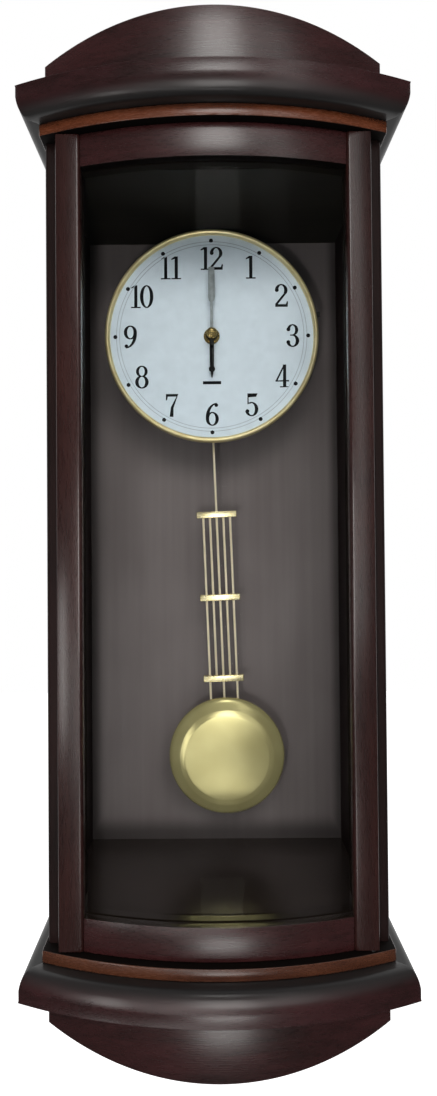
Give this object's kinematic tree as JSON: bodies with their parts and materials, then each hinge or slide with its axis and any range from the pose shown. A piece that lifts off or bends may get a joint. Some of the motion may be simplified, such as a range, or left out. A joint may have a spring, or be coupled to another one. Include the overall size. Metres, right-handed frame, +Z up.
{
  "type": "chiming wall clock",
  "caption": "Tall dark wood wall clock with bowed cornices, arched crest and apron, round white dial and brass lyre pendulum behind a hinged glass door.",
  "frame": {"origin": "centre of the keyhole's entry hole, on the wall plane at the back", "axes": "-Y to the front, +Z up, +X to the right as seen from the front"},
  "size_m": [0.277, 0.172, 0.73],
  "materials": {
    "wood": "dark espresso stain, satin lacquer",
    "belt_wood": "reddish brown stain, gloss lacquer",
    "back_panel": "dark stained board, matt",
    "raw_wood": "unfinished softwood and beech",
    "steel": "zinc plated",
    "felt": "pressed felt",
    "black_plastic": "fine spark texture",
    "glass": "clear bent sheet glass",
    "brass": "polished",
    "gilt_metal": "satin gilt",
    "dial_white": "cool white satin paint",
    "ink": "black printed ink",
    "grey_metal": "plain",
    "circuit": "solder mask",
    "chip": "moulded",
    "cell_wrap": "printed wrap left plain",
    "copper": "enamelled copper wire on a bobbin",
    "hand_black": "satin black",
    "grey_plastic": "moulded"
  },
  "bodies": {
    "case": {"side_panel_left": "wood", "side_panel_right": "wood", "top_board": "wood", "bottom_board": "wood", "back_board": "back_panel", "upper_belt": "belt_wood", "lower_belt": "belt_wood", "upper_cornice_front": "wood", "lower_cornice_front": "wood", "cornice_returns": "wood", "arched_pediment": "wood", "arched_apron": "wood", "glue_blocks": "raw_wood", "case_dowels": "raw_wood", "case_screws": "steel", "cleats": "raw_wood", "keyhole_plate": "steel", "keyhole_screws": "steel", "felt_pads": "felt", "magnet_catch": "black_plastic", "pivot_pins": "steel", "dial_plate": "dial_white", "bezel": "gilt_metal", "dial_print": "ink", "dial_nut": "brass", "movement_shell": "black_plastic", "movement_plate": "grey_metal", "movement_cover": "black_plastic", "movement_screws": "steel", "circuit_board": "circuit", "circuit_parts": "chip", "speaker": "grey_metal", "battery_tray": "black_plastic", "cells": "cell_wrap", "battery_contacts": "steel", "volume_pot": "grey_metal", "chime_switch": "black_plastic", "drive_coil": "copper", "pendulum_pin": "steel"},
    "door": {"door_stile_left": "wood", "door_stile_right": "wood", "door_rail_top": "wood", "door_rail_bottom": "wood", "door_glass": "glass", "glass_beads": "wood", "door_dowels": "raw_wood", "pivot_bushes": "brass", "strike_plate": "steel"},
    "battery_cover": {"battery_cover": "black_plastic"},
    "volume_knob": {"volume_knob": "black_plastic"},
    "chime_lever": {"chime_lever": "black_plastic"},
    "setting_wheel": {"setting_wheel": "brass"},
    "hour_hand": {"hour_wheel": "brass", "hour_hand": "hand_black"},
    "minute_hand": {"minute_arbor": "brass", "minute_hand": "hand_black"},
    "pendulum": {"hanger": "grey_plastic", "lyre_rods": "brass", "lyre_bars": "gilt_metal", "bob": "gilt_metal"}
  },
  "joints": [
    {"name": "door_hinge", "type": "hinge", "parent": "case", "child": "door", "pos_m": [0.108, -0.138, -0.262], "axis": [0, 0, 1], "range_deg": [0, 105]},
    {"name": "pendulum_swing", "type": "hinge", "parent": "case", "child": "pendulum", "pos_m": [-0.0015, -0.0475, -0.158], "axis": [0, 1, 0], "range_deg": [-3.95, 8.05]},
    {"name": "minute_hand_turn", "type": "hinge", "parent": "case", "child": "minute_hand", "pos_m": [-0.0015, -0.0575, -0.0905], "axis": [0, 1, 0], "continuous": true},
    {"name": "hour_hand_turn", "type": "hinge", "parent": "case", "child": "hour_hand", "pos_m": [-0.0015, -0.0575, -0.0905], "axis": [0, 1, 0], "continuous": true},
    {"name": "setting_wheel_turn", "type": "hinge", "parent": "case", "child": "setting_wheel", "pos_m": [-0.0015, -0.03, -0.0785], "axis": [0, 1, 0], "continuous": true},
    {"name": "chime_lever_slide", "type": "slide", "parent": "case", "child": "chime_lever", "axis": [0, 0, -1], "range_m": [0, 0.008]},
    {"name": "volume_knob_turn", "type": "hinge", "parent": "case", "child": "volume_knob", "pos_m": [-0.0355, -0.014, -0.0945], "axis": [0, 1, 0], "range_deg": [0, 270]},
    {"name": "battery_cover_slide", "type": "slide", "parent": "case", "child": "battery_cover", "axis": [0, 1, 0], "range_m": [0, 0.012]}
  ],
  "couplings": [
    {"joint": "hour_hand_turn", "follows": "minute_hand_turn", "ratio": 0.083333},
    {"joint": "setting_wheel_turn", "follows": "minute_hand_turn", "ratio": -0.33333}
  ]
}
